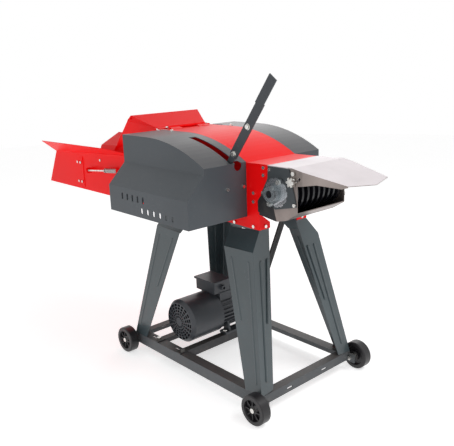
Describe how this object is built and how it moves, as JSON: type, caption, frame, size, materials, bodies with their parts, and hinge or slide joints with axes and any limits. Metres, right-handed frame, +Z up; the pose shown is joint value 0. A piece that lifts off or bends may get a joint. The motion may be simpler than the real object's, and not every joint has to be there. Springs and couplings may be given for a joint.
{
  "type": "chaff cutter",
  "caption": "Motor-driven chaff cutter on a wheeled angle-iron stand, with feed tray, knife rotor, side covers, outlet with tilting deflector, belt drive and shift lever",
  "frame": {"origin": "centre of the overall bounding box in plan, on the ground that the four wheels stand on", "axes": "+X the way the fodder travels, from the feed tray to the outlet; +Y from the lever side to the belt side; +Z up"},
  "size_m": [2.274, 0.794, 1.3332],
  "materials": {
    "rail_paint": "satin",
    "motor_rail_paint": "satin",
    "leg_paint": "satin",
    "red_paint": "gloss",
    "cover_paint": "satin",
    "plate_paint": "satin",
    "chute_steel": "satin",
    "black_paint": "satin",
    "zinc_steel": "satin",
    "spring_steel": "satin",
    "wheel_rubber": "matte",
    "belt_rubber": "matte",
    "knob_plastic": "matte",
    "motor_paint": "satin",
    "fan_plastic": "matte",
    "shaft_steel": "satin",
    "knife_steel": "satin",
    "cast_grey": "matte"
  },
  "bodies": {
    "stand": {"side_rail_near": "rail_paint", "side_rail_far": "rail_paint", "end_rail_feed": "rail_paint", "end_rail_outlet": "rail_paint", "motor_rail_feed": "motor_rail_paint", "motor_rail_outlet": "motor_rail_paint", "leg_feed_near": "leg_paint", "leg_feed_far": "leg_paint", "leg_outlet_near": "leg_paint", "leg_outlet_far": "leg_paint", "wall_near": "red_paint", "wall_far": "red_paint", "tray_inner": "red_paint", "tray_outer": "red_paint", "throat_hood": "red_paint", "near_cover": "cover_paint", "far_cover": "cover_paint", "bearing_plate_near": "plate_paint", "bearing_plate_far": "plate_paint", "outlet_side_near": "chute_steel", "outlet_side_far": "chute_steel", "outlet_pan": "chute_steel", "outlet_top": "chute_steel", "bearing_rings": "chute_steel", "body_floor": "black_paint", "axle_bolts": "zinc_steel", "machine_bolts": "zinc_steel", "tension_rod": "zinc_steel", "tension_spring": "spring_steel", "drive_belts": "belt_rubber", "motor_housing": "motor_paint", "fan_cowl": "motor_paint", "terminal_box": "motor_paint", "terminal_lid": "motor_paint", "bed_knife": "knife_steel", "gearbox": "cast_grey", "rotor_bearing": "cast_grey", "drum_bearings": "cast_grey"},
    "cutter": {"rotor": "shaft_steel", "knives": "knife_steel", "rotor_pulley": "cast_grey"},
    "motor_turning": {"motor_shaft": "shaft_steel", "motor_fan": "fan_plastic", "motor_pulley": "cast_grey"},
    "feed_lower": {"roller_lower": "shaft_steel", "gear_lower": "cast_grey"},
    "float_carrier": {"carrier_near": "black_paint", "carrier_far": "black_paint"},
    "feed_upper": {"roller_upper": "shaft_steel", "gear_upper": "cast_grey"},
    "kneading_drum": {"drum": "black_paint"},
    "wheel_a": {"wheel_feed_near": "wheel_rubber"},
    "wheel_b": {"wheel_feed_far": "wheel_rubber"},
    "wheel_c": {"wheel_outlet_near": "wheel_rubber"},
    "wheel_d": {"wheel_outlet_far": "wheel_rubber"},
    "top_hood": {"hood": "red_paint", "hinge_pin": "zinc_steel"},
    "tilt_deflector": {"deflector": "chute_steel"},
    "clamps": {"clamp_knobs": "knob_plastic"},
    "gear_lever": {"shift_lever": "plate_paint"}
  },
  "joints": [
    {"name": "rotor_spin", "type": "hinge", "parent": "stand", "child": "cutter", "pos_m": [0.372, 0.049, 0.905], "axis": [0, 1, 0], "continuous": true},
    {"name": "motor_spin", "type": "hinge", "parent": "stand", "child": "motor_turning", "pos_m": [0.167, 0.049, 0.195], "axis": [0, 1, 0], "continuous": true},
    {"name": "lower_roller_spin", "type": "hinge", "parent": "stand", "child": "feed_lower", "pos_m": [0.172, 0.049, 0.79], "axis": [0, 1, 0], "continuous": true},
    {"name": "upper_roller_float", "type": "slide", "parent": "stand", "child": "float_carrier", "axis": [0, 0, 1], "range_m": [0, 0.014]},
    {"name": "upper_roller_spin", "type": "hinge", "parent": "float_carrier", "child": "feed_upper", "pos_m": [0.172, 0.049, 0.894], "axis": [0, 1, 0], "continuous": true},
    {"name": "drum_spin", "type": "hinge", "parent": "stand", "child": "kneading_drum", "pos_m": [0.757, 0.049, 0.89], "axis": [0, 1, 0], "continuous": true},
    {"name": "wheel_feed_near_spin", "type": "hinge", "parent": "stand", "child": "wheel_a", "pos_m": [-0.099, -0.276, 0.0625], "axis": [0, 1, 0], "continuous": true},
    {"name": "wheel_feed_far_spin", "type": "hinge", "parent": "stand", "child": "wheel_b", "pos_m": [-0.099, 0.374, 0.0625], "axis": [0, 1, 0], "continuous": true},
    {"name": "wheel_outlet_near_spin", "type": "hinge", "parent": "stand", "child": "wheel_c", "pos_m": [0.803, -0.276, 0.0625], "axis": [0, 1, 0], "continuous": true},
    {"name": "wheel_outlet_far_spin", "type": "hinge", "parent": "stand", "child": "wheel_d", "pos_m": [0.803, 0.374, 0.0625], "axis": [0, 1, 0], "continuous": true},
    {"name": "hood_hinge", "type": "hinge", "parent": "stand", "child": "top_hood", "pos_m": [0.038, 0.049, 1.095], "axis": [0, 1, 0], "range_deg": [-60, 0]},
    {"name": "deflector_tilt", "type": "hinge", "parent": "stand", "child": "tilt_deflector", "pos_m": [0.852, 0.049, 0.974], "axis": [0, 1, 0], "range_deg": [0, 60]},
    {"name": "clamp_knob_turn", "type": "hinge", "parent": "stand", "child": "clamps", "pos_m": [0.848, 0.049, 0.943], "axis": [0, 1, 0], "continuous": true},
    {"name": "lever_swing", "type": "hinge", "parent": "stand", "child": "gear_lever", "pos_m": [0.456, -0.156, 0.85], "axis": [0, 1, 0], "range_deg": [-60, 0]}
  ],
  "couplings": [
    {"joint": "motor_spin", "follows": "rotor_spin", "ratio": 2.3684},
    {"joint": "lower_roller_spin", "follows": "rotor_spin", "ratio": -0.16},
    {"joint": "upper_roller_spin", "follows": "rotor_spin", "ratio": 0.16}
  ]
}
